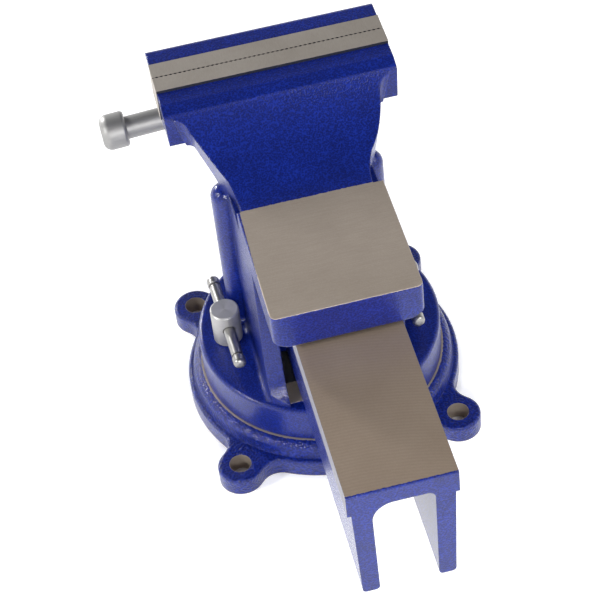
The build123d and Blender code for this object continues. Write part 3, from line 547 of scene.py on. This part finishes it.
def threaded_screw():
    """The main screw with its thread; the head keeps the frame's shape."""
    mesh = bmesh.new()
    mesh.from_mesh(frame["nodes"]["main_screw"].data)
    bmesh.ops.remove_doubles(mesh, verts=mesh.verts, dist=0.001 * MM)
    everything = mesh.verts[:] + mesh.edges[:] + mesh.faces[:]
    bmesh.ops.bisect_plane(mesh, geom=everything, plane_co=(0, shoulder_y + 1 * MM, 0),
                           plane_no=(0, 1, 0), clear_outer=True)
    rim = [edge for edge in mesh.edges if edge.is_boundary]
    bmesh.ops.holes_fill(mesh, edges=rim)
    threaded_shaft(mesh, shoulder_y + 0.3 * MM)
    bmesh.ops.recalc_face_normals(mesh, faces=mesh.faces)
    data = bpy.data.meshes.new("main_screw_threaded")
    mesh.to_mesh(data)
    mesh.free()
    for polygon in data.polygons:
        polygon.use_smooth = True
    data.set_sharp_from_angle(angle=radians(32))
    data.materials.append(screw_steel)
    piece = bpy.data.objects.new("main_screw_threaded", data)
    bpy.context.scene.collection.objects.link(piece)
    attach(piece, "screw")
    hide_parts("main_screw")


threaded_screw()


# ---------------------------------------------------------------- studio
SOFTBOXES = (                 # name, place, side of the square, watts
    ("back_softbox", (0.85, -1.35, 0.62), 0.22, 15),
    ("near_softbox", (0.13, 1.45, 0.85), 0.28, 12),
    ("side_softbox", (1.4, 0.3, 0.95), 0.22, 13),
    ("over_softbox", (-0.95, 0.8, 1.25), 0.8, 14),
)
LIGHT_AIM = Vector((0, 0.03, 0.1))
FLOOR_HALF = 6.0
FLOOR_GLOW = 0.5
HORIZON, CEILING = 0.12, 0.62     # heights on the sky where white ends and the dim ceiling starts
CEILING_GREY = (0.10, 0.105, 0.12, 1.0)


def floor():
    """White table, lit from within but for the part that the vise covers."""
    mesh = bmesh.new()
    bmesh.ops.create_grid(mesh, x_segments=1, y_segments=1, size=FLOOR_HALF)
    data = bpy.data.meshes.new("studio_floor")
    mesh.to_mesh(data)
    mesh.free()
    ground = bpy.data.objects.new("studio_floor", data)
    bpy.context.scene.collection.objects.link(ground)
    graph = Graph("pale_floor")
    graph.put(Base_Color=FLOOR_WHITE, Roughness=0.8)
    x, y, z = graph.axes()
    outside = graph.step(length(graph, x, y), covered_r, 8 * MM)
    off_ears = graph.step(from_bench_hole(graph, x, y), covered_ear_r, 4 * MM)
    glow = graph.math("MULTIPLY", both(graph, outside, off_ears), FLOOR_GLOW)
    graph.put(Emission_Color=(1.0, 1.0, 1.0, 1.0), Emission_Strength=glow)
    data.materials.append(graph.material)


def softbox(name, place, side, power):
    """A square white lamp that points at the middle of the vise."""
    lamp = bpy.data.lights.new(name, "AREA")
    lamp.shape = "RECTANGLE"
    lamp.size = lamp.size_y = side
    lamp.energy = power
    box = bpy.data.objects.new(name, lamp)
    bpy.context.scene.collection.objects.link(box)
    box.location = place
    box.rotation_euler = (LIGHT_AIM - Vector(place)).to_track_quat("-Z", "Y").to_euler()


def studio_light():
    """Bright white sweep all round, a dim ceiling, and four softboxes."""
    world = bpy.data.worlds.new("studio")
    world.use_nodes = True
    tree = world.node_tree
    background = tree.nodes["Background"]
    place = tree.nodes.new("ShaderNodeTexCoord").outputs["Generated"]
    split = tree.nodes.new("ShaderNodeSeparateXYZ")
    tree.links.new(place, split.inputs[0])
    ramp = tree.nodes.new("ShaderNodeValToRGB")
    tree.links.new(split.outputs[2], ramp.inputs[0])
    stops = ramp.color_ramp.elements
    stops[0].position, stops[0].color = HORIZON, (1.0, 1.0, 1.0, 1.0)
    stops[1].position, stops[1].color = CEILING, CEILING_GREY
    tree.links.new(ramp.outputs[0], background.inputs[0])
    background.inputs[1].default_value = 1.0
    scene = bpy.context.scene
    scene.world = world
    scene.view_settings.view_transform = "Standard"
    for name, place, side, power in SOFTBOXES:
        softbox(name, place, side, power)


def camera():
    """Long lens from behind the vise and above, a little rolled."""
    azimuth, elevation, roll = radians(171.73), radians(46.85), radians(-7.03)
    target, distance = Vector((0.01324, 0.01692, 0.09129)), 1.39956
    back = Vector((sin(azimuth) * cos(elevation), -cos(azimuth) * cos(elevation), sin(elevation)))
    level = (-back).cross(Vector((0, 0, 1))).normalized()
    upright = level.cross(-back)
    right = cos(roll) * level + sin(roll) * upright
    up = -sin(roll) * level + cos(roll) * upright
    lens = bpy.data.cameras.new("camera")
    lens.lens = 130.95
    lens.sensor_width = 36.0
    view = bpy.data.objects.new("camera", lens)
    bpy.context.scene.collection.objects.link(view)
    turn = Matrix((right, up, back)).transposed().to_4x4()
    view.matrix_world = Matrix.Translation(target + distance * back) @ turn
    bpy.context.scene.camera = view


floor()
studio_light()
camera()
